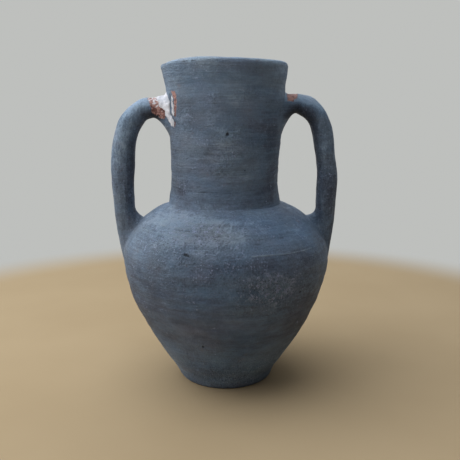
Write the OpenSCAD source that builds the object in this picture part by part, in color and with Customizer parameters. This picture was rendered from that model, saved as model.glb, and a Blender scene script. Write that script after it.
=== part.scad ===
// Two-handled clay vase, built as a potter builds it: a base disc, a lower body, a shoulder, a neck
// and a lip coil, with two strap handles luted on through wads of clay. Millimetres, +Z up. The origin
// is on the axis of the pot, at the face that it stands on. The handles lie along X.

/* [Body] */
// Radius of the flat base
foot_r = 51.7; // [44:0.1:60]
// Thickness of the clay wall
wall = 7.5; // [6:0.1:9]
// Thickness of the base disc
base_t = 9; // [7:0.5:14]
// Greatest radius of the body
belly_r = 111.9; // [108:0.1:116]
// Height of the greatest radius
belly_z = 141; // [136:0.5:146]
// Height of the seam where the shoulder is joined on
shoulder_seam_z = 158; // [152:0.5:162]

/* [Neck and lip] */
// Radius of the crease where the neck meets the shoulder
crease_r = 60.7; // [59:0.1:63]
// Height of the crease
crease_z = 197; // [195:0.5:199]
// Smallest radius of the neck
waist_r = 57.4; // [55:0.1:59]
// Height of the smallest radius
waist_z = 222; // [216:0.5:230]
// Radius at the top of the neck
collar_r = 61.9; // [60:0.1:63]
// Height at which the lip coil is joined on
collar_z = 316; // [314:0.5:320]
// Radius of the lip
lip_r = 65.8; // [64:0.1:69]
// Height of the top of the lip
lip_z = 344; // [340:0.5:350]

/* [Handles] */
// Half the width of the strap across the handle
strap_half_w = 14; // [11:0.5:16]
// Squareness of the strap's oval section, 2 being an ellipse
strap_power = 2.3; // [2:0.1:3]
// Thickness of the filler over the mended root
plaster_t = 1.2; // [0.8:0.1:2]

/* [Hidden] */

$fn = 128;
curve_steps = 12;
foot_bevel = 1.5;
bevel_drop = 5;
lip_round_h = 5;
sides = 20;
steps_per_span = 4;

slate = "#454b55";
dark_slate = "#3b4049";
terracotta = "#8a5240";
plaster = "#dcdce4";

// ---- curves -------------------------------------------------------------------------------

// Point at t on the Bezier curve with the four control points c
function bezier(c, t) =
    pow(1 - t, 3) * c[0] + 3 * pow(1 - t, 2) * t * c[1] + 3 * (1 - t) * t * t * c[2] + pow(t, 3) * c[3];

// Direction of travel at t on the same curve
function bezier_dir(c, t) =
    let (d = pow(1 - t, 2) * (c[1] - c[0]) + 2 * (1 - t) * t * (c[2] - c[1]) + t * t * (c[3] - c[2]))
    d / norm(d);

// Point at t, moved by the wall's thickness to the inner side of the wall
function inner(c, t) = let (d = bezier_dir(c, t)) bezier(c, t) + wall * [-d[1], d[0]];

// Value of t at which a rising curve reaches height z
function t_at(c, z, low = 0, high = 1, n = 24) =
    let (mid = (low + high) / 2)
    n == 0 ? mid : bezier(c, mid)[1] < z ? t_at(c, z, mid, high, n - 1) : t_at(c, z, low, mid, n - 1);

// Steps from a to b, both included
function steps(a, b, n = curve_steps) = [for (i = [0:n]) a + (b - a) * i / n];
function outer_line(c, a, b) = [for (t = steps(a, b)) bezier(c, t)];
function inner_line(c, a, b) = [for (t = steps(a, b)) inner(c, t)];

// Outer curves of the wall, from the foot to the lip
lower_curve = [[foot_r, 0], [foot_r + 2.9, 14.4], [belly_r, belly_z - 58.9], [belly_r, belly_z]];
upper_curve = [[belly_r, belly_z], [belly_r, belly_z + 33], [crease_r + 1.5, crease_z - 0.6],
               [crease_r, crease_z]];
neck_foot_curve = [[crease_r, crease_z], [crease_r - 1.6, crease_z + 8], [waist_r, waist_z - 9],
                   [waist_r, waist_z]];
neck_curve = [[waist_r, waist_z], [waist_r, waist_z + 30], [collar_r - 0.2, collar_z - 22],
              [collar_r, collar_z]];
lip_curve = [[collar_r, collar_z], [collar_r + 0.3, collar_z + 7], [lip_r - 0.8, collar_z + 13],
             [lip_r, lip_z - lip_round_h]];

base_t_at = t_at(lower_curve, base_t);
seam_t = t_at(upper_curve, shoulder_seam_z);
crease_in = [crease_r - wall, crease_z - bevel_drop];
collar_in = inner(neck_curve, 1);
lip_in_r = lip_r - wall;
lip_round_z = lip_z - lip_round_h;

// Half round over the top of the lip, from its outer to its inner side
lip_round = [for (a = [0:15:180])
                 [lip_r - wall / 2 + cos(a) * wall / 2, lip_round_z + sin(a) * lip_round_h]];
lip_inner_curve = [[lip_in_r, lip_round_z], [lip_in_r - 0.5, collar_z + 12],
                   [collar_in[0] + 0.4, collar_z + 8], collar_in];

// Outer line of each section of the wall, from its lower seam to its upper one
disc_outer = [for (t = steps(base_t_at / 6, base_t_at, 5)) bezier(lower_curve, t)];
lower_outer = concat(outer_line(lower_curve, base_t_at, 1), outer_line(upper_curve, 0, seam_t));
shoulder_outer = outer_line(upper_curve, seam_t, 1);
neck_outer = concat(outer_line(neck_foot_curve, 0, 1), outer_line(neck_curve, 0, 1));

// ---- vessel -------------------------------------------------------------------------------

// Everything inside the outer surface, which the roots are cut back to
module vessel_outside()
    rotate_extrude()
        polygon(concat([[0, 0]], disc_outer, lower_outer, shoulder_outer, neck_outer, [[0, collar_z]]));

module base_disc()
    color(dark_slate)
    rotate_extrude()
        polygon(concat([[0, 0], [foot_r - foot_bevel, 0]], disc_outer, [[0, base_t]]));

module lower_body() {
    floor_r = bezier(lower_curve, base_t_at)[0] - 1.25 * wall;
    inside = concat(inner_line(upper_curve, seam_t, 0), inner_line(lower_curve, 1, base_t_at));
    color(slate)
    rotate_extrude()
        polygon(concat(lower_outer, [for (p = inside) if (p[1] > base_t + 1) p], [[floor_r, base_t]]));
}

module shoulder()
    color(slate)
    rotate_extrude()
        polygon(concat(shoulder_outer, [crease_in],
                       [for (p = inner_line(upper_curve, 0.96, seam_t)) if (p[0] > crease_in[0] + 1) p]));

module neck()
    color(slate)
    rotate_extrude()
        polygon(concat(neck_outer, inner_line(neck_curve, 1, 0), inner_line(neck_foot_curve, 1, 0),
                       [crease_in]));

module lip_coil()
    color(slate)
    rotate_extrude()
        polygon(concat(outer_line(lip_curve, 0, 1), lip_round, outer_line(lip_inner_curve, 0, 1)));

// ---- handles and their roots ----------------------------------------------------------------

// A station is [[x, z] of the strap's outer edge, [x, z] of its inner edge, what the half width gains].
// Value at t between b and c, on a smooth curve through a, b, c and d
function smooth(a, b, c, d, t) =
    0.5 * ((2 * b) + (c - a) * t + (2 * a - 5 * b + 4 * c - d) * t * t + (3 * b - a - 3 * c + d) * t * t * t);

// Every station of a strap, with the spans between the given ones filled in
function fill(s) =
    let (last = len(s) - 1)
    concat([for (i = [0:last - 1]) for (k = [0:steps_per_span - 1])
                [for (part = [0:2])
                    smooth(s[max(i - 1, 0)][part], s[i][part], s[i + 1][part], s[min(i + 2, last)][part],
                           k / steps_per_span)]],
           [s[last]]);

function oval(a) = [sign(cos(a)) * pow(abs(cos(a)), 2 / strap_power),
                    sign(sin(a)) * pow(abs(sin(a)), 2 / strap_power)];

// Oval ring of points at a station, grown outwards by extra
function ring(station, extra) =
    let (middle = (station[0] + station[1]) / 2,
         half = (station[0] - station[1]) / 2,
         reach = half * (1 + extra / norm(half)))
    [for (i = [0:sides - 1])
        let (o = oval(360 * (i + 0.5) / sides), p = middle + reach * o[0])
        [p[0], (strap_half_w + station[2] + extra) * o[1], p[1]]];

// Closed solid through all of a strap's stations
module strap(stations, extra = 0) {
    rings = [for (s = fill(stations)) ring(s, extra)];
    count = len(rings);
    polyhedron(
        points = [for (r = rings) for (p = r) p],
        faces = concat(
            [[for (i = [0:sides - 1]) i]],
            [[for (i = [sides - 1:-1:0]) (count - 1) * sides + i]],
            [for (r = [0:count - 2]) for (i = [0:sides - 1]) for (half = [0, 1])
                let (j = (i + 1) % sides, a = r * sides, b = a + sides)
                half == 0 ? [a + i, b + i, b + j] : [a + i, b + j, a + j]]));
}

// Both handles are drawn on the +X side, and the left one is turned over to -X
module left_side() mirror([1, 0, 0]) children();

left_top = [[78, 307.8], [77, 286.2], 0];
left_end = [[121.3, 190], [99.4, 190.5], 0];
left_strap = [left_top, [[91, 305], [84.2, 284.2], 0], [[109.5, 290], [91.6, 273], 0.5],
              [[117.6, 271.5], [95.2, 262.3], 0.5], [[121.8, 251], [97, 248.5], 0],
              [[123.3, 231], [98, 231], -0.5], [[122.6, 210], [99.5, 210], -0.5], left_end];

right_top = [[78, 310.8], [75.5, 290.8], 0];
right_end = [[120.1, 190], [99.1, 190.5], 0];
right_strap = [right_top, [[90.5, 308.2], [83, 286.6], 0], [[101.5, 299.5], [88.3, 281.2], 0],
               [[109.5, 287], [91.4, 274.2], 0], [[114.3, 272.5], [93.8, 265.2], -0.5],
               [[117.8, 248], [97, 247.6], -1], [[121, 227.5], [99.6, 227.5], -1],
               [[121.1, 208], [98.9, 208], -0.5], right_end];

left_upper = [left_top, [[70.5, 308.6], [71.5, 285], 1.5], [[64, 311.3], [66, 279.5], 5],
              [[58, 314], [60, 269.5], 10], [[52, 315], [54, 260], 15], [[46, 315], [47, 254], 19]];
right_upper = [right_top, [[70.5, 312.2], [70.2, 289.3], 1], [[64, 313.4], [64.8, 281.3], 4],
               [[58, 314.4], [59.5, 270], 8], [[52, 315], [54, 259], 12], [[46, 315], [47, 254], 15]];
left_lower = [left_end, [[120.6, 182], [96, 182.5], 1.5], [[119.4, 173], [89, 173], 3.5],
              [[117.9, 162], [82, 162], 4], [[116.6, 150], [78, 150], 3],
              [[114.4, 138], [78, 138], 0.5], [[109, 127], [82, 127], -3]];
right_lower = [right_end, [[119.5, 182], [96.6, 182.5], 0], [[118.6, 173], [90, 173], 0],
               [[117.2, 162], [82, 162], 0.3], [[115.6, 150], [78, 150], 0],
               [[113.6, 138], [78, 138], -1], [[109, 127], [82, 127], -4]];

module root(stations, extra = 0)
    difference() {
        strap(stations, extra);
        vessel_outside();
    }

module handle_left() color(slate) left_side() strap(left_strap);
module handle_right() color(slate) strap(right_strap);
module upper_root_left() color(terracotta) left_side() root(left_upper);
module upper_root_right() color(terracotta) root(right_upper);
module lower_root_left() color(dark_slate) left_side() root(left_lower);
module lower_root_right() color(dark_slate) root(right_lower);

// Ragged outline of the filler, seen from the front, and how far it reaches over the root
plaster_outline = [[76, 316], [75.5, 303], [72, 297], [68.5, 289], [64.5, 283], [60, 276.5], [55.5, 271],
                   [51, 271], [50, 316]];
plaster_back = 9;

module plaster_repair()
    color(plaster)
    left_side()
    difference() {
        intersection() {
            strap(left_upper, plaster_t);
            translate([0, plaster_back, 0])
                rotate([90, 0, 0])
                    linear_extrude(height = 60)
                        polygon(plaster_outline);
        }
        strap(left_upper);
        vessel_outside();
    }

// ---- the whole pot --------------------------------------------------------------------------

base_disc();
lower_body();
shoulder();
neck();
lip_coil();
handle_left();
handle_right();
upper_root_left();
upper_root_right();
lower_root_left();
lower_root_right();
plaster_repair();
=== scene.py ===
"""A hand-built, two-handled clay vase under a chalky slate-blue coat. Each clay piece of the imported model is
replaced by a fine mesh with the unevenness, throwing lines, grit and chips of the real surface."""

import math

import bpy
import numpy as np
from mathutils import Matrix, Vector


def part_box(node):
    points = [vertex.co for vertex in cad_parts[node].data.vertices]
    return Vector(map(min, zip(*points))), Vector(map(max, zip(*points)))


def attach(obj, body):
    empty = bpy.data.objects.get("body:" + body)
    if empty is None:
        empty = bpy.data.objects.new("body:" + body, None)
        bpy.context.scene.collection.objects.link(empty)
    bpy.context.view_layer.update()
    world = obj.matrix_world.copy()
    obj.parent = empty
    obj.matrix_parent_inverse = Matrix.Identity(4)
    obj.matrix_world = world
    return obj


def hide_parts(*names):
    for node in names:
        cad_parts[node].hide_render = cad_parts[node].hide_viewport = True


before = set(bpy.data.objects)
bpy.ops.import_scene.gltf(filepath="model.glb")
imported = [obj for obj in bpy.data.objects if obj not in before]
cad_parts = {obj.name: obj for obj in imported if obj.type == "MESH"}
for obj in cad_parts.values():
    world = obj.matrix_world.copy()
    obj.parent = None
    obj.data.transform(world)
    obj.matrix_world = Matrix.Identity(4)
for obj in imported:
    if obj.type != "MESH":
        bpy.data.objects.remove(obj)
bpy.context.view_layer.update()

MM = 0.001


# ---- the pot's driving dimensions, in millimetres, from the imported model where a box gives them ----

def low(node, axis):
    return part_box(node)[0][axis] / MM


def high(node, axis):
    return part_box(node)[1][axis] / MM


BASE_T = high("base_disc", 2)
BELLY_R = high("lower_body", 1)
BELLY_Z = 141.0
SEAM_Z = 158.0
SEAM_DROP = 3.0
CREASE_R = 60.7
CREASE_DROP = 5.0
CREASE_Z = low("neck", 2) + CREASE_DROP
WAIST_R = 57.4
WAIST_Z = 222.0
COLLAR_R = high("neck", 1)
COLLAR_Z = high("neck", 2)
LIP_R = high("lip_coil", 1)
LIP_TOP = high("lip_coil", 2)
LIP_ROUND = 5.0
FOOT_R = 51.7
FOOT_BEVEL = 1.8
WALL = 7.5
FLOOR_R = 46.5
MIDDLE_R = 1.5

COLUMNS = 600
CURVE_STEPS = 120
ROW_OUT = 1.4
ROW_IN = 4.0
SHARP = math.radians(50)


# ---- smooth noise that is the same on every run ----

class Noise:
    """Gradient noise in 3-D, about -1 to 1."""

    def __init__(self, seed):
        rng = np.random.default_rng(seed)
        self.order = rng.permutation(256)
        self.arrow = unit(rng.normal(size=(256, 3)))

    def __call__(self, p):
        cell = np.floor(p).astype(int)
        f = p - cell
        fade = f * f * f * (f * (f * 6 - 15) + 10)
        total = np.zeros(p.shape[:-1])
        for dx in (0, 1):
            for dy in (0, 1):
                for dz in (0, 1):
                    k = self.order[(cell[..., 0] + dx) & 255]
                    k = self.order[(k + cell[..., 1] + dy) & 255]
                    k = self.order[(k + cell[..., 2] + dz) & 255]
                    away = f - np.array([dx, dy, dz])
                    pull = (self.arrow[k] * away).sum(-1)
                    wx = fade[..., 0] if dx else 1 - fade[..., 0]
                    wy = fade[..., 1] if dy else 1 - fade[..., 1]
                    wz = fade[..., 2] if dz else 1 - fade[..., 2]
                    total += pull * wx * wy * wz
        return total * 1.6


def smoothstep(a, b, x):
    t = np.clip((x - a) / (b - a), 0, 1)
    return t * t * (3 - 2 * t)


def hill(x, middle, reach):
    return np.exp(-((x - middle) / reach) ** 2)


def unit(v):
    return v / np.linalg.norm(v, axis=-1)[..., None]


lumps, rings, grains, sways = Noise(11), Noise(23), Noise(37), Noise(51)


# ---- curves ----

def bezier(points):
    t = np.linspace(0, 1, CURVE_STEPS + 1)[:, None]
    a, b, c, d = (np.array(p, float) for p in points)
    return (1 - t) ** 3 * a + 3 * (1 - t) ** 2 * t * b + 3 * (1 - t) * t * t * c + t ** 3 * d


def distance_along(line):
    return np.concatenate([[0], np.cumsum(np.linalg.norm(np.diff(line, axis=0), axis=1))])


def even(line, step):
    """The line again, with points an even distance apart and both ends kept."""
    reach = distance_along(line)
    count = max(2, round(reach[-1] / step))
    at = np.linspace(0, reach[-1], count + 1)
    return np.stack([np.interp(at, reach, line[:, k]) for k in range(line.shape[1])], 1)


def joined(*lines):
    return np.concatenate([lines[0]] + [one[1:] for one in lines[1:]])


def between(line, z_low, z_high):
    """The stretch of a rising line between two heights, ends included."""
    ends = [[np.interp(z, line[:, 1], line[:, 0]), z] for z in (z_low, z_high)]
    inside = line[(line[:, 1] > z_low + 0.01) & (line[:, 1] < z_high - 0.01)]
    return np.vstack([ends[0], inside, ends[1]])


def inset(line, depth):
    """The line moved to its left side by depth."""
    way = unit(np.gradient(line, axis=0))
    return line + depth * np.stack([-way[:, 1], way[:, 0]], 1)


# Outer line of the wall, from the foot to the lip, as (radius, height)
lower = bezier([(FOOT_R, 0), (FOOT_R + 2.9, 14.4), (BELLY_R, BELLY_Z - 58.9), (BELLY_R, BELLY_Z)])
upper = bezier([(BELLY_R, BELLY_Z), (BELLY_R, BELLY_Z + 33), (CREASE_R + 1.5, CREASE_Z - 0.6),
                (CREASE_R, CREASE_Z)])
body = joined(lower, upper)
neck_foot = bezier([(CREASE_R, CREASE_Z), (CREASE_R - 1.6, CREASE_Z + 8), (WAIST_R, WAIST_Z - 9),
                    (WAIST_R, WAIST_Z)])
neck_line = joined(neck_foot, bezier([(WAIST_R, WAIST_Z), (WAIST_R, WAIST_Z + 30),
                                      (COLLAR_R - 0.2, COLLAR_Z - 22), (COLLAR_R, COLLAR_Z)]))
flare = bezier([(COLLAR_R, COLLAR_Z), (COLLAR_R + 0.3, COLLAR_Z + 7), (LIP_R - 0.8, COLLAR_Z + 13),
                (LIP_R, LIP_TOP - LIP_ROUND)])
top_edge = bezier([(LIP_R, LIP_TOP - LIP_ROUND), (LIP_R - 0.5, LIP_TOP - 1.6), (LIP_R - 0.9, LIP_TOP - 0.1),
                   (LIP_R - WALL / 2, LIP_TOP)])
turn = np.linspace(math.pi / 2, math.pi, 20)
inner_edge = np.stack([LIP_R - WALL / 2 + WALL / 2 * np.cos(turn),
                       LIP_TOP - LIP_ROUND + LIP_ROUND * np.sin(turn)], 1)
collar_in = (COLLAR_R - WALL, COLLAR_Z)
lip_inside = bezier([(LIP_R - WALL, LIP_TOP - LIP_ROUND), (LIP_R - WALL - 0.5, COLLAR_Z + 12),
                     (COLLAR_R - WALL + 0.4, COLLAR_Z + 8), collar_in])
crease_in = (CREASE_R - WALL, CREASE_Z - CREASE_DROP)
neck_inside = np.vstack([inset(neck_line, WALL)[:-1], [collar_in]])[::-1]
neck_inside = np.vstack([neck_inside[neck_inside[:, 1] > crease_in[1] + 2], [crease_in]])
body_inside = inset(body, WALL)
body_inside = body_inside[(body_inside[:, 1] > BASE_T + 1.5)]
body_inside = body_inside[: np.argmax(body_inside[:, 1])]
seam_in = int(np.argmin(np.abs(body_inside[:, 1] - (SEAM_Z - SEAM_DROP))))
shoulder_inside = np.vstack([[crease_in], body_inside[seam_in:][::-1]])
lower_inside = np.vstack([body_inside[: seam_in + 1][::-1], [(FLOOR_R, BASE_T)]])
bevel = np.array([(FOOT_R - FOOT_BEVEL, 0.0), (FOOT_R - 0.4, 0.6), (FOOT_R + 0.2, FOOT_BEVEL)])

# Each stretch of the pot's skin, in order from the middle of the underside to the middle of the floor:
# its name, its line, how far apart its rows are and how much of the unevenness it has
STRETCHES = [
    ("underside", np.array([(MIDDLE_R, 0.0), (FOOT_R - FOOT_BEVEL, 0.0)]), ROW_IN, 0.0),
    ("disc_side", joined(bevel, between(body, FOOT_BEVEL, BASE_T)), 1.0, 0.7),
    ("lower", between(body, BASE_T, SEAM_Z), ROW_OUT, 1.0),
    ("shoulder", between(body, SEAM_Z, CREASE_Z), ROW_OUT, 1.0),
    ("neck", neck_line, ROW_OUT, 1.0),
    ("lip", joined(flare, top_edge, inner_edge, lip_inside), 1.0, 0.8),
    ("neck_inside", neck_inside, ROW_IN, 0.6),
    ("shoulder_inside", shoulder_inside, ROW_IN, 0.6),
    ("lower_inside", lower_inside, ROW_IN, 0.6),
    ("floor", np.array([(FLOOR_R, BASE_T), (MIDDLE_R, BASE_T)]), ROW_IN, 0.3),
]
skin_line, skin_rough, first_row = [], [], {}
for name, line, step, rough in STRETCHES:
    points = even(line, step)
    start = len(skin_line) - 1 if skin_line else 0
    first_row[name] = (start, start + len(points))
    skip = 1 if skin_line else 0
    skin_line.extend(points[skip:])
    skin_rough.extend([rough] * (len(points) - skip))
skin_line = np.array(skin_line)
skin_rough = np.convolve(np.pad(skin_rough, 2, mode="edge"), np.ones(5) / 5, "valid")
skin_way = unit(np.gradient(skin_line, axis=0))
skin_out = np.stack([skin_way[:, 1], -skin_way[:, 0]], 1)


# ---- the mended and chipped places, as (x, z) outlines seen from the front, in millimetres ----

WHITE_MAIN = [
    (-61.5, 318), (-72.5, 318), (-72.5, 307.5), (-70, 304), (-68.5, 301.5), (-68.5, 299), (-65.5, 297),
    (-64, 295), (-62, 294), (-62, 289.5), (-60.5, 287), (-58.5, 286.5), (-58.3, 283.7), (-57, 281.8),
    (-55.6, 280), (-53, 277.5), (-51.8, 281.4), (-52.3, 284), (-55, 287.6), (-56.8, 292), (-57.5, 295),
    (-56.8, 300.7), (-57.4, 304.4), (-58.5, 307.5), (-60.5, 311),
]
BARE_LEFT_ROOT = [
    (-81, 318), (-70.5, 318), (-70.5, 305), (-67, 301.3), (-67, 298.7), (-64.3, 296.2), (-60.5, 293.3),
    (-60, 289.7), (-63.9, 286.1), (-67, 286), (-70.2, 288.7), (-73.6, 290), (-76.5, 293), (-77.6, 297.7),
    (-78.7, 301.7), (-81, 306),
]
BARE_STRIP = [
    (-54.6, 314.5), (-50.2, 313.2), (-48.8, 308.7), (-48.7, 302), (-49.2, 295), (-49.9, 288), (-51.9, 289),
    (-51.9, 297), (-51.6, 304), (-52.7, 308),
]
BARE_TIP = [(-52, 284), (-50.4, 283.5), (-50.8, 280), (-52, 276.8), (-52.6, 280)]
WHITE_STRIP = [
    (-54.9, 309.5), (-53.4, 308.4), (-51.9, 305.6), (-52.9, 303.4), (-51.4, 299.6), (-52.4, 296.6),
    (-51.3, 292.4), (-52.2, 289), (-53.6, 289.4), (-54.6, 293.5), (-53.7, 297), (-54.7, 301), (-54.3, 305),
]
BARE_RIGHT_ROOT = [
    (64.6, 318), (76, 318), (75.5, 308), (72.7, 305.3), (70.6, 303.8), (67, 303.3), (64.6, 303.8),
]
CRACK = [
    (-56.2, 311), (-55.6, 308), (-56.8, 305.5), (-55.3, 302.5), (-56.6, 299.5), (-55.9, 297), (-57, 294.5),
    (-55.6, 291.5), (-55.9, 289.5), (-53.8, 288), (-53.2, 286), (-51.2, 284.6), (-50.3, 282.4),
]
CRACK_HALF = 0.5
# How far out and up the chips start, how far behind the pot's middle they reach, what a mark says far
# outside its outline, and the heights between which the bare clay turns pale and crumbly
CHIPS_X = 40
CHIPS_Z = 265
BACK_EDGE = 8.0
FAR_OUT = -9.0
PALE_Z = (290, 306)


def edge_walk(p, line):
    """Distance from each point to a line of (x, z) points seen from the front."""
    x, z = p[..., 0], p[..., 2]
    away = np.full(x.shape, 1e9)
    for (ax, az), (bx, bz) in zip(line, line[1:]):
        t = np.clip(((x - ax) * (bx - ax) + (z - az) * (bz - az)) / ((bx - ax) ** 2 + (bz - az) ** 2), 0, 1)
        away = np.minimum(away, np.hypot(x - ax - t * (bx - ax), z - az - t * (bz - az)))
    return away


def region(p, outline):
    """Millimetres inside an outline, on the front and over the top; negative outside it."""
    x, z = p[..., 0], p[..., 2]
    inside = np.zeros(x.shape, bool)
    for (ax, az), (bx, bz) in zip(outline, outline[1:] + outline[:1]):
        crosses = (az > z) != (bz > z)
        step = (bx - ax) * (z - az) / np.where(bz == az, 1e-9, bz - az) + ax
        inside ^= crosses & (x < step)
    away = edge_walk(p, outline + outline[:1])
    return np.minimum(np.where(inside, away, -away), BACK_EDGE - p[..., 1])


def bare_depth(p):
    outlines = (BARE_LEFT_ROOT, BARE_STRIP, BARE_TIP, BARE_RIGHT_ROOT)
    return np.maximum.reduce([region(p, one) for one in outlines])


def chip_relief(p):
    """The bare clay lies low and is rough, the white strip is proud and the crack is a groove."""
    bare = smoothstep(-0.4, 0.7, bare_depth(p) + 0.8 * grains(p / 2.3 + 60))
    h = bare * (-0.45 + 0.3 * grains(p / 1.9 + 20))
    h += 0.35 * smoothstep(-0.3, 0.5, region(p, WHITE_STRIP))
    return h - 0.8 * np.exp(-(edge_walk(p, CRACK) / 0.8) ** 2) * (p[..., 1] < 0)


# ---- where the coat changes: how light, brown, blue or gritty it is, and where light and shade are painted on it ----

# How light the coat is at a height, from 0 dark to 1 chalky. It is darker low on the belly, and its lowest
# point, at the foot's bottom edge, is painted contact shadow
TONE = [
    (0, 0.12), (8, 0.46), (24, 0.63), (42, 0.42), (56, 0.2), (70, 0.08), (105, 0.14), (128, 0.22),
    (150, 0.32), (172, 0.48), (198, 0.44), (214, 0.38), (236, 0.5), (300, 0.57), (322, 0.57), (344, 0.6),
]
# Each spot is x, z as seen from the front, its half width and half height, and how strong it is. The spots
# lighten or darken the coat: some are paler or darker coat, and others are painted shade and painted
# highlight, as marked below
DUST_AND_PAINTED_LIGHT = [
    # neck: paler and darker coat, with painted shade down its right side and along its foot above the crease
    (8, 268, 20, 24, 0.14), (48, 262, 12, 40, -0.55), (-46, 240, 12, 20, -0.2), (-48, 210, 12, 12, -0.34),
    (26, 304, 18, 10, 0.2), (8, 310, 14, 10, 0.14), (6, 252, 12, 12, -0.2), (28, 270, 9, 22, -0.28),
    (34, 213, 22, 10, -0.26), (10, 202, 40, 6, -0.18), (0, 297, 11, 11, -0.22), (-36, 304, 12, 10, -0.36),
    (-13, 304, 8, 6, 0.24), (56, 298, 6, 18, 0.25), (-52, 285, 8, 14, -0.14), (-54, 258, 7, 24, -0.2),
    (-46, 302, 6, 10, -0.16), (10, 330, 30, 8, -0.12),
    # shoulder: paler chalky coat, with a strip of painted shade in the crease
    (-46, 182, 36, 13, 0.6), (-8, 183, 22, 7, 0.42), (-12, 196, 22, 3, -0.16), (46, 193, 20, 7, 0.2),
    (-42, 190, 18, 6, 0.24), (-30, 175, 18, 7, 0.32), (8, 177, 15, 6, 0.46), (-14, 184, 15, 5, 0.46),
    (-88, 160, 12, 40, 0.08),
    # belly and foot
    (74, 92, 24, 24, -0.18), (45, 130, 25, 14, 0.76), (56, 124, 14, 12, 0.35), (34, 112, 26, 8, 0.2),
    (40, 152, 44, 7, -0.32), (-2, 152, 14, 8, -0.1), (-46, 150, 20, 12, 0.08), (-68, 130, 18, 24, -0.18),
    (-36, 30, 18, 14, -0.22), (16, 98, 28, 7, 0.12),
    # handles and their roots: mostly painted light and shade: painted shade under the roots, on the handles'
    # inner faces and down their outer sides, and painted highlights on their tops and lit sides
    (77, 295, 15, 8, -1.35), (72, 289, 12, 7, -0.8), (90, 284, 7, 9, -0.8), (87, 306, 9, 5, 0.5),
    (104, 284, 9, 15, -0.45), (-74, 289, 10, 5, -1.6), (-84, 303, 12, 6, 0.45), (-109, 288, 11, 14, -0.25),
    (-95, 200, 6, 12, 0.9), (-108, 257, 6, 14, 0.32), (-94, 229, 6, 20, -1), (-109, 240, 8, 40, -0.1),
    (100, 220, 6, 20, 0.62), (110, 210, 6, 28, -0.45), (118, 190, 6, 50, -0.4), (-100, 180, 12, 14, -0.1),
    # painted highlight along the top edge of the lip
    (-48, 343.6, 17, 2.2, 1), (38, 343.4, 16, 2.4, 0.5), (0, 344, 70, 1.2, 0.35),
]
BROWNS = [
    (70, 108, 26, 14, 0.2), (-22, 142, 12, 9, 0.7), (-30, 250, 26, 34, 0.2), (28, 282, 18, 14, 0.35),
    (-16, 300, 16, 12, 0.3), (54, 140, 22, 14, 0.4), (-22, 84, 34, 24, 0.4), (-10, 22, 30, 12, 0.2),
]
BLUES = [
    (66, 176, 40, 16, 0.25), (40, 188, 26, 8, 0.25), (92, 190, 16, 14, 0.1), (0, 152, 34, 10, 0.3),
    (-10, 122, 70, 16, 0.55), (20, 92, 70, 14, 0.4), (46, 262, 18, 40, 0.4), (-46, 262, 14, 40, -0.25),
    (-4, 176, 30, 14, -0.08), (-88, 172, 20, 14, -0.25), (-22, 84, 30, 22, -0.15), (70, 130, 30, 14, -0.1),
    (-110, 190, 14, 50, -0.4), (84, 296, 20, 14, 0.7), (14, 26, 44, 18, 0.35), (18, 68, 26, 18, 0.75),
    (-10, 42, 34, 14, 0.4), (20, 290, 30, 16, 0.15), (46, 126, 26, 18, 0.15),
]
GRITS = [
    # neck
    (-5, 318, 60, 12, -0.07), (0, 262, 34, 22, 0.15), (-39, 285, 8, 9, 0.5), (-11, 306, 5, 5, 0.45),
    (24, 311, 10, 6, 0.35), (-19, 257, 5, 4, 0.5), (-5, 237, 11, 5, 0.55), (6, 272, 7, 7, 0.45),
    (-42, 219, 7, 5, 0.5),
    # shoulder
    (-24, 180, 44, 14, 1.1), (-8, 182, 24, 4, 0.25), (-50, 160, 34, 14, 0.5),
    # belly and foot
    (45, 127, 27, 18, 2.2), (0, 150, 30, 14, 0.75), (-25, 82, 60, 30, -0.12), (45, 78, 40, 26, -0.08),
    (0, 22, 60, 16, 0.5), (-34, 136, 30, 10, 0.4),
    # handles and their roots
    (-106, 235, 14, 60, 0.28), (108, 225, 14, 60, 0.34),
]
BACK_SHARE = 0.7
BASE_GRIT = 0.12
BASE_BROWN = 0.05
BASE_BLUE = 0.3


def spots(p, table):
    """Sum of soft spots. The back of the pot has the same ones, turned about and weaker."""
    total = np.zeros(p.shape[:-1])
    front = smoothstep(40, -40, p[..., 1])
    for x, z, half_w, half_h, amount in table:
        for turn_x, share in ((1.0, front), (-1.0, BACK_SHARE * (1 - front))):
            away = ((p[..., 0] - turn_x * x) / half_w) ** 2 + ((p[..., 2] - z) / half_h) ** 2
            total += amount * share * np.exp(-away)
    return total


def grit_at(p):
    return BASE_GRIT + spots(p, GRITS)


# ---- the wall's surface ----

# Pits in the coat: degrees round from +X, height, radius and depth
PITS = [
    (-88, 272, 1.7, 1.5), (-111.7, 160.6, 1.3, 0.8), (-110.7, 160.3, 1.6, 0.9), (-109.6, 159.8, 1.4, 0.9),
    (-112.6, 153.6, 0.8, 0.4), (-113.6, 151.4, 0.9, 0.4), (-131, 247, 0.9, 0.4), (-70, 236, 0.9, 0.4),
    (-47, 118, 1.5, 0.7), (-105, 62, 1.4, 0.6), (35, 120, 2.2, 0.8), (110, 250, 2, 0.8),
    (150, 90, 2.2, 0.8), (75, 165, 1.8, 0.7),
]
# Pits in the handles: x and height as seen from the front, and radius
HANDLE_PITS = [(-115, 214, 0.9), (-104, 262, 0.5)]
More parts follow.
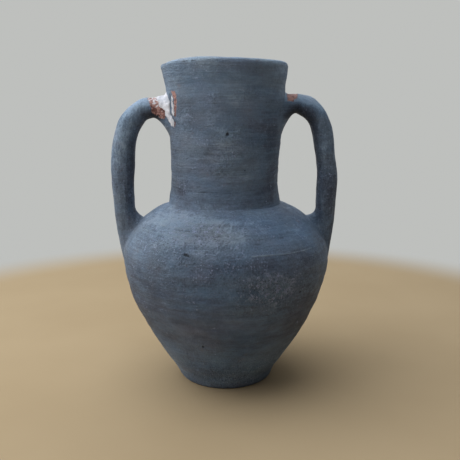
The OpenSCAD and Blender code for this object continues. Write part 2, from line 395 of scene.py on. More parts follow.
# Fine lines left by the throwing and the brush: height, first and last degrees, rise along the line.
# The first light one is the scored line where the shoulder was joined on.
LIGHT_LINES = [
    (160.2, -76, -36, -1.6), (181.5, -140, -96, 0.3), (178.3, -128, -90, -0.4), (186, -118, -92, 0.3),
    (174.6, -150, -118, 0.4), (255, -112, -84, 0.3), (231, -96, -66, -0.3), (163, 40, 96, 1),
    (183, 20, 74, 0.3), (188.5, 84, 140, 0.2), (250, 60, 120, 0.4),
]
DARK_LINES = [
    (341, -172, -116, 0.4), (184.6, -105, -76, 0.2), (185.8, -101, -86, 0.2), (176.4, -110, -88, 0.2),
    (179.8, -134, -112, 0.3), (261, -106, -78, 0.3), (214, -118, -62, 0.2), (178, 50, 110, 0.2),
    (166.5, 100, 150, 0.5),
]
# How far from a line or a pit the distance to it is still counted
LINE_REACH = 9.0
# How far the middle of the pot leans to the right at a height, in millimetres
LEAN = [
    (0, -0.8), (28, -0.5), (55, 0.1), (110, 0.3), (160, 0.5), (197, -1.1), (230, -0.8), (262, -0.1),
    (300, 0.8), (318, 0.4), (344, -0.8),
]


def sway(z):
    """How far the pot's middle wanders sideways at a height."""
    heights, leans = np.array(LEAN).T
    x = np.zeros(z.shape)
    for shift in (-9, -4.5, 0, 4.5, 9):
        x += np.interp(z + shift, heights, leans) / 5
    y = 1.1 * sways(np.stack([z / 48, z * 0 + 9.4, z * 0 + 5.2], -1))
    return x, y


def turned(p):
    """Degrees round from +X, and distance from the pot's middle line."""
    return np.degrees(np.arctan2(p[..., 1], p[..., 0])), np.hypot(p[..., 0], p[..., 1])


def line_distance(p, lines):
    """Millimetres from each point of the wall to the nearest of the fine lines."""
    wrap, r = turned(p)
    away = np.full(wrap.shape, LINE_REACH)
    for height, first, last, rise in lines:
        level = height + rise * (wrap - first) / (last - first)
        past = np.maximum(np.maximum(first - wrap, wrap - last), 0) * np.pi / 180 * r
        away = np.minimum(away, np.hypot(p[..., 2] - level, 0.3 * past))
    return away


def pit_distance(p, on_handle):
    """Millimetres from each point to the nearest pit's edge, negative inside it."""
    wrap, r = turned(p)
    away = np.full(wrap.shape, LINE_REACH)
    if on_handle:
        for x, z, radius in HANDLE_PITS:
            near = np.hypot(p[..., 0] - x, 0.6 * (p[..., 2] - z)) - radius
            away = np.minimum(away, np.where(p[..., 1] < 0, near, LINE_REACH))
    else:
        for degrees, z, radius, _ in PITS:
            away = np.minimum(away, np.hypot((wrap - degrees) * np.pi / 180 * r, p[..., 2] - z) - radius)
    return away


# Throwing lines, broad and fine: how far one runs in x, y and z before it changes, the height where the
# fine ones are deepest, and how far that reaches up and down
BROAD_RING = (95, 95, 5.2)
FINE_RING = (60, 60, 1.9)
THROWN_Z = 183
THROWN_REACH = 16


def wall_relief(p, angle, rough, r):
    """How far the wall stands out of its true line, in millimetres."""
    z = p[..., 2]
    # Broad lumps, weaker at the left and right so that the outline stays true, then smaller ones
    side = 1 - 0.75 * np.cos(angle) ** 8
    h = side * (0.8 * lumps(p / 47) + 0.5 * np.sin(angle) ** 2 * np.cos(z / 60 + 1.0))
    h += 0.38 * lumps(p / 19 + 5) + 0.15 * lumps(p / 7.5 + 9)
    # Throwing lines, grain and grit
    thrown = 0.1 + 0.2 * hill(z, THROWN_Z, THROWN_REACH)
    h += 0.32 * rings(p / BROAD_RING) + thrown * rings(p / FINE_RING + 4)
    h += 0.08 * grains(p / 2.9) + 0.5 * grit_at(p) * smoothstep(0.1, 0.75, grains(p / 2.7 + 80))
    # Pits, and the line under the lip
    wrap = np.degrees(angle)
    for degrees, height, radius, depth in PITS:
        away = np.hypot((wrap - degrees) * math.pi / 180 * r, z - height) / radius
        h -= depth * np.exp(-(away ** 2) * 1.4)
    wander = lumps(np.stack([angle * 4, angle * 0, angle * 0 + 3.3], -1))
    h -= 0.32 * hill(z, LIP_TOP - LIP_ROUND - 0.6 + 0.9 * wander, 0.8)
    return h * rough


# Where the outside stands off its true line: height, reach up and down, and how far out on the left, on the
# front and back, and on the right
SWELLS = [
    (342, 3.5, 1.4, 0.2, 0.5), (306, 18, 0.75, 0.75, 0.75), (92, 18, 1.1, 0.3, 0.2), (130, 12, 0, 0, 0.6),
    (150, 8, 0, 0, -0.3), (14, 8, -1, -0.7, -1),
]
# Where the wall is lifted or let down: height, reach up and down, and how far on the left and on the right
LIFTS = [(186, 12, 0, 1.1), (CREASE_Z, 7, -2.9, -1.5)]
# Where the rim dips or rises: degrees round, half width and depth
RIM_DIPS = [(-163, 20, 1.9), (-117, 21, -1.4)]
# How far through the lip's rows the inside starts, and how far away it takes its unevenness from, so that
# it doesn't copy the outside's
INSIDE_FROM = 0.62
INSIDE_SHIFT = 400


def wall_points(angle, row, inside):
    """Points on the wall at an angle and at a row number, which may fall between rows."""
    count = np.arange(len(skin_line))
    r = np.interp(row, count, skin_line[:, 0])
    z = np.interp(row, count, skin_line[:, 1])
    out_r = np.interp(row, count, skin_out[:, 0])
    out_z = np.interp(row, count, skin_out[:, 1])
    rough = np.interp(row, count, skin_rough)
    p = np.stack([r * np.cos(angle), r * np.sin(angle), z], -1)
    out = np.stack([out_r * np.cos(angle), out_r * np.sin(angle), out_z], -1)
    crease = 1 - 0.8 * hill(row, first_row["neck"][0], 3) * (1 - inside)
    inner = p + INSIDE_SHIFT * inside[..., None] * np.array([1.0, 0.0, 0.0])
    h = wall_relief(inner, angle, rough, r) * crease
    right, left = np.maximum(np.cos(angle), 0) ** 2, np.maximum(-np.cos(angle), 0) ** 2
    for height, reach, on_left, on_front, on_right in SWELLS:
        out_by = left * on_left + right * on_right + (1 - left - right) * on_front
        h += out_by * hill(z, height, reach) * (1 - inside) * smoothstep(0, 3, z)
    near = (np.abs(p[..., 0]) > CHIPS_X) & (z > CHIPS_Z) & (inside < 0.5)
    h[near] += chip_relief(p[near])
    q = p + out * h[..., None]
    # The whole pot leans a little above its foot, and its rim isn't level
    dx, dy = sway(z)
    hold = smoothstep(0, 30, z)
    q[..., 0] += dx * hold
    q[..., 1] += dy * hold
    rim = smoothstep(250, LIP_TOP, z)
    dip = 0.85 * np.cos(2 * angle) + 0.8 - 0.2 * np.cos(angle)
    for degrees, half, drop in RIM_DIPS:
        dip += drop * hill((np.degrees(angle) - degrees + 180) % 360, 180, half)
    q[..., 2] -= rim * dip
    for height, reach, on_left, on_right in LIFTS:
        q[..., 2] += (left * on_left + right * on_right) * hill(z, height, reach)
    q[..., 2] = np.where(z <= 0.01, np.maximum(q[..., 2], 0), q[..., 2])
    return q, out


columns = np.linspace(-math.pi, math.pi, COLUMNS, endpoint=False)
in_row = first_row["lip"][0] + int(INSIDE_FROM * (first_row["lip"][1] - first_row["lip"][0]))
row_number, column_angle = np.meshgrid(np.arange(len(skin_line)), columns, indexing="ij")
is_inside = smoothstep(in_row - 6, in_row + 6, row_number)
skin = wall_points(column_angle, row_number, is_inside)[0]


def outer_row(z):
    """The row number at a height on the outside of the wall."""
    a, b = first_row["disc_side"][0], first_row["neck"][1]
    return np.interp(z, skin_line[a:b, 1], np.arange(a, b))


# ---- meshes ----

def grid_faces(rows, cols, closed):
    i, j = np.meshgrid(np.arange(rows if closed else rows - 1), np.arange(cols), indexing="ij")
    k, n = (i + 1) % rows, (j + 1) % cols
    return np.stack([i * cols + j, i * cols + n, k * cols + n, k * cols + j], -1).reshape(-1, 4)


def signed_volume(points, faces):
    a, b, c, d = (points[faces[:, k]] for k in range(4))
    return (np.cross(a, b) * c).sum() + (np.cross(a, c) * d).sum()


def add_mesh(node, points, faces, material, marks):
    """The mesh that replaces a node, from points in millimetres and what each mark says at each point.
    Points past the end of a mark take its last value."""
    mesh = bpy.data.meshes.new(node)
    mesh.from_pydata((points * MM).tolist(), [], faces)
    mesh.validate()
    mesh.shade_smooth()
    mesh.set_sharp_from_angle(angle=SHARP)
    for key, values in marks.items():
        values = values.reshape(-1)
        values = np.concatenate([values, np.full(len(points) - len(values), values[-1])])
        layer = mesh.attributes.new(key, "FLOAT", "POINT")
        layer.data.foreach_set("value", values.astype(np.float32))
    piece = bpy.data.objects.new(node, mesh)
    bpy.context.scene.collection.objects.link(piece)
    mesh.materials.append(material)
    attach(piece, "root")
    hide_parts(node)


def add_piece(node, grid, material, marks, capped=True):
    """A closed mesh from a grid of points. The columns always close on themselves; the rows close on
    themselves, or each end is shut by a fan to the middle of its row."""
    rows, cols = grid.shape[:2]
    points = grid.reshape(-1, 3)
    quads = grid_faces(rows, cols, not capped)
    flip = signed_volume(points, quads) < 0
    if flip:
        quads = quads[:, ::-1]
    fans = []
    if capped:
        points = np.vstack([points, grid[0].mean(0), grid[-1].mean(0)])
        for end, first in ((0, 0), (1, (rows - 1) * cols)):
            for j in range(cols):
                tri = (first + j, first + (j + 1) % cols, rows * cols + end)
                fans.append(tri if (end == 1) != flip else tri[::-1])
    add_mesh(node, points, quads.tolist() + fans, material, marks)


# ---- handles and their roots ----

AROUND = 72
SIDE_POWER = 2.3
STRAP_STEP = 1.5
CHIPPED_ROWS = 8
# Stations of each strap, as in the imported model: outer edge (x, z), inner edge (x, z), half width
STRAPS = {
    "left": [
        ((78, 307.8), (77, 286.2), 14), ((91, 305), (84.2, 283.4), 14), ((109.5, 290), (91.6, 273), 14.5),
        ((117.6, 271.5), (95.2, 262.3), 14.5), ((121.8, 251), (97, 248.5), 14),
        ((123.3, 231), (98, 231), 13.5), ((122.6, 210), (99.5, 210), 13.5),
        ((121.3, 190), (99.4, 190.5), 14),
    ],
    "right": [
        ((78, 310.8), (75.5, 290.8), 14), ((90.5, 308.2), (83, 286.6), 14),
        ((101.5, 299.5), (88.3, 281.2), 14), ((109.5, 287), (91.4, 274.2), 14),
        ((114.3, 272.5), (93.8, 265.2), 13.5), ((117.8, 248), (97, 247.6), 13),
        ((120.8, 227.5), (99.6, 227.5), 13), ((120.6, 208), (98.9, 208), 13.5),
        ((119.6, 190), (99.1, 190.5), 14),
    ],
}
# Where each root meets the wall: highest, widest and lowest height, half width, and how far the clay
# is drawn out before it lands (along the strap, along the wall, off the wall) at its top, side and bottom
UPPER_FEET = {
    "left": {
        "z": (313.5, 289, 266), "half_w": 27,
        "along": (5, 9, 6), "land": (4, 9, 9), "lift": (1.0, 1.2, 1.8),
    },
    "right": {
        "z": (314.5, 291, 268), "half_w": 22,
        "along": (4, 8, 6), "land": (3, 7, 9), "lift": (0.8, 1.0, 1.5),
    },
}
LOWER_FEET = {
    "left": {
        "z": (179, 158, 126), "half_w": 18,
        "along": (5, 9, 17), "land": (2, 4, 17), "lift": (1.0, 2.0, 3.1),
    },
    "right": {
        "z": (180, 158, 128), "half_w": 13.5,
        "along": (9, 9, 17), "land": (1, 4, 14), "lift": (0.6, 1.6, 2.4),
    },
}
SINK = 1.8


def spline(values, t):
    """Smooth curve through the values, one for each whole number t."""
    last = len(values) - 1
    i = np.clip(np.floor(t).astype(int), 0, last - 1)
    f = (t - i)[:, None]
    a, b = values[np.maximum(i - 1, 0)], values[i]
    c, d = values[i + 1], values[np.minimum(i + 2, last)]
    square, cube = 2 * a - 5 * b + 4 * c - d, 3 * b - a - 3 * c + d
    return 0.5 * (2 * b + (c - a) * f + square * f ** 2 + cube * f ** 3)


def oval(angle):
    c, s = np.cos(angle), np.sin(angle)
    return np.sign(c) * np.abs(c) ** (2 / SIDE_POWER), np.sign(s) * np.abs(s) ** (2 / SIDE_POWER)


around = np.linspace(0, 2 * math.pi, AROUND, endpoint=False) + math.pi / AROUND
oval_c, oval_s = oval(around)


def strap_rings(stations):
    """Rings of the strap on the +X side, from its upper to its lower end, and its direction at each."""
    table = np.array([[*a, *b, w] for a, b, w in stations], float)
    dense = spline(table, np.linspace(0, len(table) - 1, 400))
    middle = (dense[:, 0:2] + dense[:, 2:4]) / 2
    reach = distance_along(middle)
    at = np.linspace(0, reach[-1], round(reach[-1] / STRAP_STEP) + 1)
    even_table = np.stack([np.interp(at, reach, dense[:, k]) for k in range(5)], 1)
    middle = (even_table[:, 0:2] + even_table[:, 2:4]) / 2
    half = (even_table[:, 0:2] - even_table[:, 2:4]) / 2
    flat = middle[:, None, :] + half[:, None, :] * oval_c[None, :, None]
    y = even_table[:, 4, None] * oval_s[None, :]
    way = unit(np.gradient(middle, axis=0))
    return np.stack([flat[..., 0], y, flat[..., 1]], -1), np.stack([way[:, 0], way[:, 0] * 0, way[:, 1]], -1)


def root_rings(ring, way, foot, top_is_outer, side):
    """Rings from the strap's end, down to the wall and just under its surface."""
    z_top, z_mid, z_low = foot["z"]
    up = oval_c if top_is_outer else -oval_c
    up_soft = np.cos(around) if top_is_outer else -np.cos(around)

    def spot(scale):
        z = z_mid + np.where(up > 0, z_top - z_mid, z_mid - z_low) * up * scale
        row = outer_row(z)
        r = np.interp(row, np.arange(len(skin_line)), skin_line[:, 0])
        turn_by = foot["half_w"] * scale * oval_s / r
        angle = turn_by if side == "right" else math.pi - turn_by
        angle = np.where(angle > math.pi, angle - 2 * math.pi, angle)
        point, out = wall_points(angle, row, np.zeros(AROUND))
        if side == "left":
            point, out = point * [-1, 1, 1], out * [-1, 1, 1]
        return point, out

    def share(three):
        top, mid, bottom = three
        return (mid + np.where(up_soft > 0, top - mid, bottom - mid) * np.abs(up_soft) ** 1.5)[:, None]

    # Spread points along the wall, away from the middle of the foot
    land, out = spot(1.0)
    spread = spot(1.03)[0] - spot(0.97)[0]
    spread = unit(spread - out * (spread * out).sum(-1)[:, None])
    a = ring + way * share(foot["along"])
    b = land - spread * share(foot["land"]) + out * share(foot["lift"])
    length = np.linalg.norm(land - ring, axis=1).mean()
    rings_out = []
    for t in np.linspace(0, 1, round(length) + 1)[1:]:
        from_ring = (1 - t) ** 3 * ring + 3 * (1 - t) ** 2 * t * a
        rings_out.append(from_ring + 3 * (1 - t) * t * t * b + t ** 3 * land)
    rings_out.append(land - out * 0.5 * SINK + spread * 0.1)
    rings_out.append(land - out * SINK - spread * 2)
    return np.array(rings_out)


def strap_relief(p, fade):
    h = 0.42 * lumps(p / 21 + 30) + 0.22 * lumps(p / 9 + 12) + 0.07 * grains(p / 2.9 + 3)
    long_lines = np.stack([p[..., 0] / 5, p[..., 1] / 4.2, p[..., 2] / 48], -1)
    return (h + 0.13 * rings(long_lines)) * fade


def grid_normals(grid):
    along = np.gradient(grid, axis=0)
    wrapped = np.concatenate([grid[:, -1:], grid, grid[:, :1]], 1)
    across = (wrapped[:, 2:] - wrapped[:, :-2]) / 2
    n = np.cross(across, along)
    n /= np.maximum(np.linalg.norm(n, axis=-1), 1e-9)[..., None]
    middle = grid.mean(1, keepdims=True)
    return n * np.sign(((grid - middle) * n).sum(-1).mean())


def whole_handle(side):
    """All rings of one handle with both roots, and the row numbers where the strap starts and ends."""
    strap, way = strap_rings(STRAPS[side])
    top = root_rings(strap[0], -way[0], UPPER_FEET[side], True, side)[::-1]
    bottom = root_rings(strap[-1], way[-1], LOWER_FEET[side], False, side)
    grid = np.concatenate([top, strap, bottom])
    if side == "left":
        grid = grid * [-1, 1, 1]
    row = np.arange(len(grid), dtype=float)
    fade = smoothstep(2, 12, row) * smoothstep(2, 14, row[-1] - row)
    normal = grid_normals(grid)
    h = strap_relief(grid, fade[:, None])
    near = slice(len(top) + CHIPPED_ROWS)
    h[near] += chip_relief(grid[near]) * fade[near, None]
    grid = grid + normal * h[..., None]
    return grid, normal, len(top), len(top) + len(strap) - 1


# ---- materials ----

class Nodes:
    """Short names for building the node tree of a material or a world."""

    def __init__(self, owner, place="Object"):
        owner.use_nodes = True
        self.owner, self.tree = owner, owner.node_tree
        self.tree.nodes.clear()
        self.place = self.add("TexCoord").outputs[place]

    def add(self, kind, inputs=None, **settings):
        """A new node, with each input linked to a socket or set to a number or a colour."""
        node = self.tree.nodes.new("ShaderNode" + kind)
        for key, value in settings.items():
            setattr(node, key, value)
        for key, value in (inputs or {}).items():
            socket = node.inputs[key]
            if isinstance(value, bpy.types.NodeSocket):
                self.tree.links.new(value, socket)
            else:
                socket.default_value = (*value, 1.0) if socket.type == "RGBA" else value
        return node

    def math(self, kind, a, b=0.0, c=0.0, clamp=False):
        return self.add("Math", {0: a, 1: b, 2: c}, operation=kind, use_clamp=clamp).outputs[0]

    def times(self, a, b):
        return self.math("MULTIPLY", a, b)

    def swing(self, noise, by, onto=0.0, clamp=False):
        """How far a noise is from its middle, times a number, on top of another value."""
        return self.math("MULTIPLY_ADD", self.math("SUBTRACT", noise, 0.5), by, onto, clamp)

    def stretch(self, scale):
        return self.add("Mapping", {"Vector": self.place, "Scale": scale}).outputs[0]

    def noise(self, scale, detail, rough, where=None, offset=0):
        inputs = {"Vector": where or self.place, "W": offset, "Scale": scale, "Detail": detail,
                  "Roughness": rough}
        return self.add("TexNoise", inputs, noise_dimensions="4D").outputs["Fac"]

    def cells(self, scale):
        node = self.add("TexVoronoi", {"Vector": self.place, "Scale": scale})
        return node.outputs["Distance"], self.add("SeparateColor", {0: node.outputs["Color"]}).outputs[0]

    def range(self, value, low_in, high_in, low_out=0.0, high_out=1.0):
        inputs = {"Value": value, "From Min": low_in, "From Max": high_in,
                  "To Min": low_out, "To Max": high_out}
        return self.add("MapRange", inputs, interpolation_type="SMOOTHSTEP").outputs[0]

    def mark(self, name):
        return self.add("Attribute", attribute_name=name).outputs["Fac"]

    def mix(self, factor, a, b, kind="MIX"):
        return self.add("Mix", {"Factor": factor, 6: a, 7: b}, data_type="RGBA", blend_type=kind).outputs[2]

    def lay(self, color, over, amount, share):
        """One colour laid over another, as much as the amount says times a share."""
        return self.mix(self.times(amount, share), color, over)

    def bump(self, height, strength, distance, under=None):
        inputs = {"Height": height, "Strength": strength, "Distance": distance}
        if under is not None:
            inputs["Normal"] = under
        return self.add("Bump", inputs).outputs[0]

    def surface(self, color, roughness, normal, specular=0.35):
        inputs = {"Base Color": color, "Roughness": roughness, "Normal": normal,
                  "Specular IOR Level": specular}
        return self.done(self.add("BsdfPrincipled", inputs), "OutputMaterial")

    def blend(self, factor, a, b, output):
        return self.done(self.add("MixShader", {0: factor, 1: a.outputs[0], 2: b.outputs[0]}), output)

    def done(self, shader, output):
        self.add(output, {"Surface": shader.outputs[0]})
        return self.owner


# The darkest colour here is mostly painted shade, under the roots and on the handles' inner faces, and also
# the colour of pits; the lightest is chalky coat and also painted highlight, on the lip's top edge and the
# handle tops
DARK = (0.063, 0.0705, 0.094)
DEEP = (0.020, 0.025, 0.035)
SLATE = (0.132, 0.166, 0.212)
CHALK_AND_HIGHLIGHT = (0.275, 0.330, 0.392)
COOL_TINT = (0.76, 1.03, 1.30)
WARM_TINT = (1.14, 0.94, 0.97)
RUST = (0.175, 0.118, 0.120)
SPECK = (0.40, 0.45, 0.64)
CRUMB = (0.50, 0.555, 0.78)
TERRACOTTA = (0.48, 0.255, 0.215)
TERRACOTTA_DEEP = (0.170, 0.068, 0.058)
PLASTER = (0.76, 0.73, 0.76)
PLASTER_SHADE = (0.50, 0.50, 0.54)


def painted_clay(name, bands_along=(1, 1, 4.5), lines_along=(1, 1, 12), contrast=1.0):
    """Matt, chalky slate-blue coat with bands, fine lines, dust, painted light and shade carried by the tone
    mark, grit and pits. What the bands and the lines go along is how much finer they are in x, y and z."""
    n = Nodes(bpy.data.materials.new(name))
    tone, grit = n.mark("tone"), n.mark("grit")
    lines = n.noise(50, 4, 0.65, n.stretch(lines_along), 3)
    lines = n.swing(lines, n.range(grit, 0.0, 0.12, 0.4, 1.0), 0.5)
    mottle = n.noise(150, 5, 0.68, offset=5)
    chalk = n.noise(560, 3, 0.65, offset=6)
    bands = n.noise(26, 4, 0.6, n.stretch(bands_along), 2)
    clouds, patches = n.noise(15, 3, 0.55, offset=1), n.noise(42, 5, 0.62, offset=4)
    for layer, amount in ((clouds, 0.6), (bands, 0.75), (lines, 0.8), (patches, 0.75)):
        tone = n.swing(layer, amount * contrast, tone)
    coarse = n.math("MULTIPLY_ADD", grit, 3.0, 0.2, clamp=True)
    for layer in (mottle, chalk):
        tone = n.math("MULTIPLY_ADD", n.swing(layer, 0.95 * contrast), coarse, tone)
    # Tone runs from painted shade at its lowest, through dark and slate coat, to chalky coat and painted
    # highlight at its highest
    color = n.mix(n.range(tone, -0.9, 0.0), DEEP, n.mix(n.range(tone, -0.15, 0.5), DARK, SLATE))
    color = n.mix(n.range(tone, 0.44, 1.05), color, CHALK_AND_HIGHLIGHT)

    # Cool and warm patches, and faint rust
    cool = n.noise(27, 5, 0.6, n.stretch((1, 1, 2.2)), 7)
    color = n.mix(n.swing(cool, 1.4, n.mark("blue"), clamp=True), color, COOL_TINT, "MULTIPLY")
    warm = n.noise(36, 5, 0.62, n.stretch((1, 1, 1.8)), 8)
    color = n.mix(n.swing(warm, 1.6, n.mark("brown"), clamp=True), color, WARM_TINT, "MULTIPLY")
    color = n.lay(color, RUST, n.range(n.noise(75, 5, 0.6, offset=9), 0.6, 0.72), 0.35)

    # Grit: crumbs where it is heavy, loose specks in clusters, and dark pores
    crumb = n.times(n.range(n.noise(190, 5, 0.85, offset=18), 0.51, 0.56), n.range(grit, 0.75, 1.5))
    color = n.lay(color, CRUMB, crumb, 0.85)
    cluster = n.times(n.range(n.noise(58, 3, 0.6, offset=16), 0.56, 0.66), 0.7)
    cluster = n.math("ADD", cluster, grit, clamp=True)
    cluster = n.times(cluster, n.range(n.noise(46, 4, 0.7, offset=19), 0.38, 0.6, 0.15, 1.0))
    near, kind = n.cells(400)
    speck = n.times(n.range(near, 0.46, 0.16), n.range(kind, 0.66, 0.74))
    fleck = n.range(n.noise(300, 3, 0.7, offset=17), 0.565, 0.66)
    loose = n.times(n.math("MAXIMUM", speck, fleck), cluster)
    color = n.lay(color, SPECK, loose, 0.9)
    pores = n.math("MULTIPLY", n.range(chalk, 0.46, 0.34), grit, clamp=True)
    color = n.lay(color, DARK, pores, 0.6)

    # Fine lines and pits
    broken = n.range(n.noise(110, 4, 0.7, offset=15), 0.4, 0.56)
    light_line = n.times(n.range(n.mark("light_line"), 0.85, 0.3), n.math("MAXIMUM", broken, 0.35))
    color = n.lay(color, CHALK_AND_HIGHLIGHT, light_line, 0.85)
    dark_line = n.times(n.range(n.mark("dark_line"), 0.8, 0.25), broken)
    color = n.lay(color, DARK, dark_line, 0.55)
    pit = n.range(n.math("MULTIPLY_ADD", chalk, 1.4, n.mark("pit")), 0.95, 0.1)
    color = n.lay(color, DEEP, pit, 0.85)

    grain = n.times(n.math("MULTIPLY_ADD", chalk, 1.6, mottle), n.math("MULTIPLY_ADD", grit, 2.0, 0.3))
    height = n.math("MULTIPLY_ADD", light_line, 0.5, grain)
    height = n.math("MULTIPLY_ADD", n.math("MAXIMUM", loose, crumb), 0.6, height)
    height = n.math("MULTIPLY_ADD", dark_line, -0.8, n.math("SUBTRACT", height, pit))
    normal = n.bump(height, 1.0, 0.001, n.bump(lines, 0.8, 0.0012))
    return n, color, n.range(mottle, 0.3, 0.7, 0.74, 0.56), normal, mottle, chalk


def chipped(parts):
    """The same coat, broken away to bare clay and filler where the marks say so."""
    n, color, roughness, normal, mottle, chalk = parts
    ragged = n.swing(n.noise(400, 4, 0.75, offset=11), 7.0)
    bare = n.range(n.math("ADD", n.mark("bare"), ragged), -0.25, 0.25)
    clumps = n.math("MULTIPLY_ADD", n.mark("pale"), -0.09, n.noise(290, 4, 0.7, offset=12))
    clay = n.mix(n.range(clumps, 0.37, 0.53), TERRACOTTA, TERRACOTTA_DEEP)
    crumbs = n.math("MULTIPLY_ADD", n.mark("crumbs"), 0.09, n.noise(300, 4, 0.7, offset=13))
    clay = n.lay(clay, PLASTER, n.range(crumbs, 0.58, 0.64), 0.85)
    color = n.mix(bare, color, clay)
    white = n.range(n.math("MULTIPLY_ADD", ragged, 0.9, n.mark("white")), -0.2, 0.2)
    color = n.mix(white, color, n.mix(n.range(mottle, 0.35, 0.6), PLASTER_SHADE, PLASTER))
    crack = n.range(n.math("MULTIPLY_ADD", ragged, 0.2, n.mark("crack")), -0.15, 0.2)
    color = n.lay(color, DARK, crack, 0.7)
    edge = n.math("SUBTRACT", n.times(white, 0.8), bare)
    edge = n.math("MULTIPLY_ADD", crack, -1.5, edge)
    normal = n.bump(n.math("MULTIPLY_ADD", chalk, 0.6, edge), 0.9, 0.0005, normal)
    return n.surface(color, roughness, normal)


def plaster_material(name):
    n = Nodes(bpy.data.materials.new(name))
    soft = n.noise(120, 4, 0.6, offset=21)
    grain = n.noise(1100, 3, 0.6, offset=22)
    color = n.mix(n.range(soft, 0.35, 0.62), PLASTER_SHADE, PLASTER)
    color = n.lay(color, TERRACOTTA, n.range(n.noise(240, 4, 0.7, offset=23), 0.6, 0.7), 0.35)
    normal = n.bump(n.math("MULTIPLY_ADD", grain, 0.5, soft), 0.8, 0.0006)
    return n.surface(color, n.range(grain, 0.3, 0.7, 0.95, 0.8), normal, 0.3)


wall_coat = chipped(painted_clay("painted_clay"))
handle_coat = chipped(painted_clay("painted_handle", (3, 3, 1), (9, 9, 1), 1.2))
root_coat = chipped(painted_clay("chipped_root"))
plaster_coat = plaster_material("plaster")


def coat_marks(p, tone_and_painted_light, on_handle):
    """The coat's zones at each point. The tone also carries what is passed in, which on the handles is painted
    highlight and painted shade.
    """
    heights, tones = np.array(TONE).T
    far = np.full(p.shape[:-1], LINE_REACH)
    return {
        "light_line": far if on_handle else line_distance(p, LIGHT_LINES),
        "dark_line": far if on_handle else line_distance(p, DARK_LINES),
        "pit": pit_distance(p, on_handle),
        "tone": np.interp(p[..., 2], heights, tones) + spots(p, DUST_AND_PAINTED_LIGHT) + tone_and_painted_light,
        "brown": BASE_BROWN + spots(p, BROWNS),
        "blue": BASE_BLUE + spots(p, BLUES),
        "grit": grit_at(p),
    }


def chip_marks(p):
    """How deep each point is inside the bare clay, the filler and the crack, in millimetres."""
    return {
        "bare": np.maximum(bare_depth(p), FAR_OUT),
        "white": np.maximum(np.maximum(region(p, WHITE_MAIN), region(p, WHITE_STRIP)), FAR_OUT),
        "crack": np.where(p[..., 1] < 0, np.maximum(CRACK_HALF - edge_walk(p, CRACK), FAR_OUT), FAR_OUT),
        "crumbs": np.where(p[..., 0] < -58, smoothstep(*PALE_Z, p[..., 2]), -0.5),
        "pale": np.where(p[..., 0] < 0, smoothstep(*PALE_Z, p[..., 2]), 1.3),
    }


NO_CHIPS = {"bare": FAR_OUT, "white": FAR_OUT, "crack": FAR_OUT, "crumbs": 0.0, "pale": 0.0}


def marks_for(p, with_chips, tone_and_painted_light=0.0, on_handle=False):
    marks = coat_marks(p, tone_and_painted_light, on_handle)
    marks.update(chip_marks(p) if with_chips else {k: np.full(p.shape[:-1], v) for k, v in NO_CHIPS.items()})
    return marks


# ---- building the pieces ----

def wall_piece(node, *stretches):
    """One section of the wall: its outer rows, then its inner rows, meeting its neighbours row on row.
    The disc is shut in its middle, and the others are rings."""
    rows = np.unique(np.concatenate([np.arange(*first_row[name]) for name in stretches]))
    grid = skin[rows]
    marks = marks_for(grid, with_chips=node == "neck")
    add_piece(node, grid, wall_coat, marks, capped=node == "base_disc")


wall_piece("base_disc", "underside", "disc_side", "floor")
wall_piece("lower_body", "lower", "lower_inside")
wall_piece("shoulder", "shoulder", "shoulder_inside")
wall_piece("neck", "neck", "neck_inside")
wall_piece("lip_coil", "lip")


def finer(grid, rows_by, cols_by):
    """The grid again with smooth in-between rows and columns. The columns close on themselves."""
    rows, cols = grid.shape[:2]
    t = np.linspace(0, rows - 1, (rows - 1) * rows_by + 1)
    tall = spline(grid.reshape(rows, -1), t).reshape(len(t), cols, 3)
    ring = np.concatenate([tall[:, -2:], tall, tall[:, :3]], 1).transpose(1, 0, 2)
    t = 2 + np.arange(cols * cols_by) / cols_by
    return spline(ring.reshape(len(ring), -1), t).reshape(len(t), -1, 3).transpose(1, 0, 2)


# The filler's skin: how thick it is, how deep its edge is sunk, how far it reaches down into the root, how
# far past its outline it is made, and how many rows of the strap it may reach
FLAKE_THICK = 1.1
FLAKE_SUNK = 0.35
FLAKE_UNDER = 0.9
FLAKE_PAST = 1.1
FLAKE_ROWS = 3


def filler(grid, normal):
    """The white filler: a thin flake with a ragged, sunken edge, over the front and top of the root."""
    p, n = finer(grid, 3, 4), unit(finer(normal, 3, 4))
    depth = region(p, WHITE_MAIN) + 0.9 * grains(p / 2.6 + 7) + 0.4 * grains(p / 1.1 + 3)
    rise = FLAKE_THICK * smoothstep(-0.9, 0.9, depth) - FLAKE_SUNK
    rise += smoothstep(0, 1, depth) * (0.22 * lumps(p / 4.2 + 2) + 0.1 * grains(p / 1.2))
    cols = depth.shape[1]
    keep = depth > -FLAKE_PAST
    keep[:3], keep[-1:] = False, False
    i, j = np.nonzero(keep[:-1] & keep[1:] & np.roll(keep, -1, 1)[:-1] & np.roll(keep, -1, 1)[1:])
    k = (j + 1) % cols
    quads = np.stack([i * cols + j, i * cols + k, (i + 1) * cols + k, (i + 1) * cols + j], 1)
    used, flat = np.unique(quads, return_inverse=True)
    quads = flat.reshape(-1, 4)
    top = (p + n * rise[..., None]).reshape(-1, 3)[used]
    low_side = (p - n * FLAKE_UNDER).reshape(-1, 3)[used]
    sides = np.concatenate([quads[:, [a, (a + 1) % 4]] for a in range(4)])
    size = len(used)
    turned = set((sides[:, 1] * size + sides[:, 0]).tolist())
    rim = np.array([e for e in sides if e[0] * size + e[1] not in turned])
    walls = np.stack([rim[:, 1], rim[:, 0], rim[:, 0] + size, rim[:, 1] + size], 1)
    points = np.vstack([top, low_side])
    faces = np.vstack([quads, quads[:, ::-1] + size, walls])
    if signed_volume(points, faces) < 0:
        faces = faces[:, ::-1]
    add_mesh("plaster_repair", points, faces.tolist(), plaster_coat, {})


